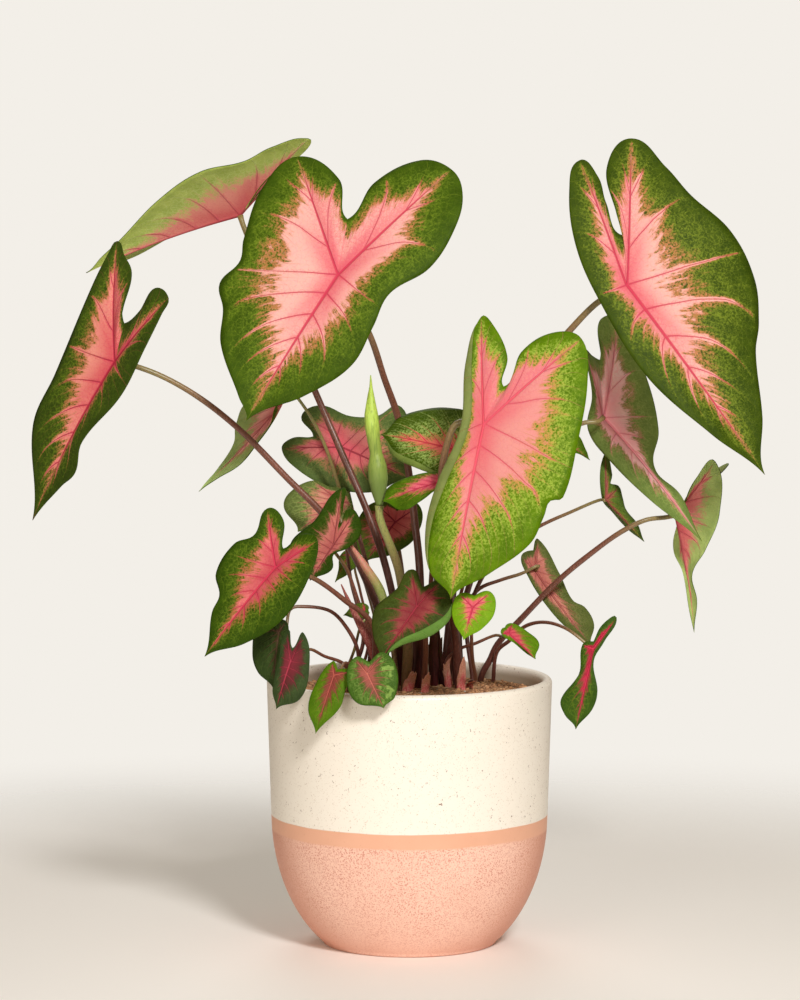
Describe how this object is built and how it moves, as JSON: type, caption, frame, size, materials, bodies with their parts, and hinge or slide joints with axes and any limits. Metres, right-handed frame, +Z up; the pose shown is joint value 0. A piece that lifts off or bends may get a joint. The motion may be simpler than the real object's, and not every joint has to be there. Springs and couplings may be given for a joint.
{
  "type": "potted caladium",
  "caption": "Caladium with heart-shaped pink-centred leaves on arching stalks, growing from soil in a round two-tone glazed pot.",
  "frame": {"origin": "centre of the pot's flat underside", "axes": "+Z up; the fullest side of the plant faces -Y; +X to the right of someone who looks along +Y at that side"},
  "size_m": [0.4064, 0.2245, 0.4513],
  "materials": {
    "pot_glaze": "satin speckled ceramic glaze, cream above and salmon below a smooth orange-pink stripe",
    "soil": "damp crumbly potting soil with fibres",
    "tuber": "rough brown tuber skin",
    "leaf_blade": "thin satin leaf, green with a pink centre and crimson veins, paler and duller underneath",
    "stalk": "smooth satin red-brown leaf stalk",
    "stalk_olive": "smooth satin olive-green leaf stalk",
    "spear": "smooth light yellow-green rolled leaf",
    "young_leaf": "smooth pink and green rolled leaf",
    "sheath": "thin dry pink-brown sheath"
  },
  "bodies": {
    "root": {"pot": "pot_glaze", "soil": "soil", "tuber": "tuber", "blade_top_back": "leaf_blade", "stalk_top_back": "stalk", "blade_top_front": "leaf_blade", "stalk_top_front": "stalk", "blade_far_left": "leaf_blade", "stalk_far_left": "stalk", "blade_right_large": "leaf_blade", "stalk_right_large": "stalk", "blade_right_shade": "leaf_blade", "stalk_right_shade": "stalk", "blade_front_large": "leaf_blade", "stalk_front_large": "stalk", "blade_left_mid": "leaf_blade", "stalk_left_mid": "stalk", "blade_far_right": "leaf_blade", "stalk_far_right": "stalk", "blade_upper_mid_back": "leaf_blade", "stalk_upper_mid_back": "stalk", "blade_mid_left_hanging": "leaf_blade", "stalk_mid_left_hanging": "stalk_olive", "blade_centre_right_upper": "leaf_blade", "stalk_centre_right_upper": "stalk", "blade_centre_right_lower": "leaf_blade", "stalk_centre_right_lower": "stalk", "blade_mid_right_hanging": "leaf_blade", "stalk_mid_right_hanging": "stalk", "blade_lower_right_hanging": "leaf_blade", "stalk_lower_right_hanging": "stalk", "blade_narrow_right": "leaf_blade", "stalk_narrow_right": "stalk", "blade_front_centre": "leaf_blade", "stalk_front_centre": "stalk", "blade_left_twisted": "leaf_blade", "stalk_left_twisted": "stalk", "blade_left_back_low": "leaf_blade", "stalk_left_back_low": "stalk", "blade_centre_back": "leaf_blade", "stalk_centre_back": "stalk", "blade_rim_left_dark": "leaf_blade", "stalk_rim_left_dark": "stalk", "blade_rim_left_pink": "leaf_blade", "stalk_rim_left_pink": "stalk", "blade_rim_front_left": "leaf_blade", "stalk_rim_front_left": "stalk", "blade_rim_front_mottled": "leaf_blade", "stalk_rim_front_mottled": "stalk", "blade_tiny_front": "leaf_blade", "stalk_tiny_front": "stalk", "blade_tiny_right": "leaf_blade", "stalk_tiny_right": "stalk", "leaf_small_back_right": "leaf_blade", "leaf_small_left_inner": "leaf_blade", "leaf_small_left_low": "leaf_blade", "spear": "spear", "stalk_spear": "stalk_olive", "young_leaf": "young_leaf", "sheath": "sheath"}
  },
  "joints": []
}
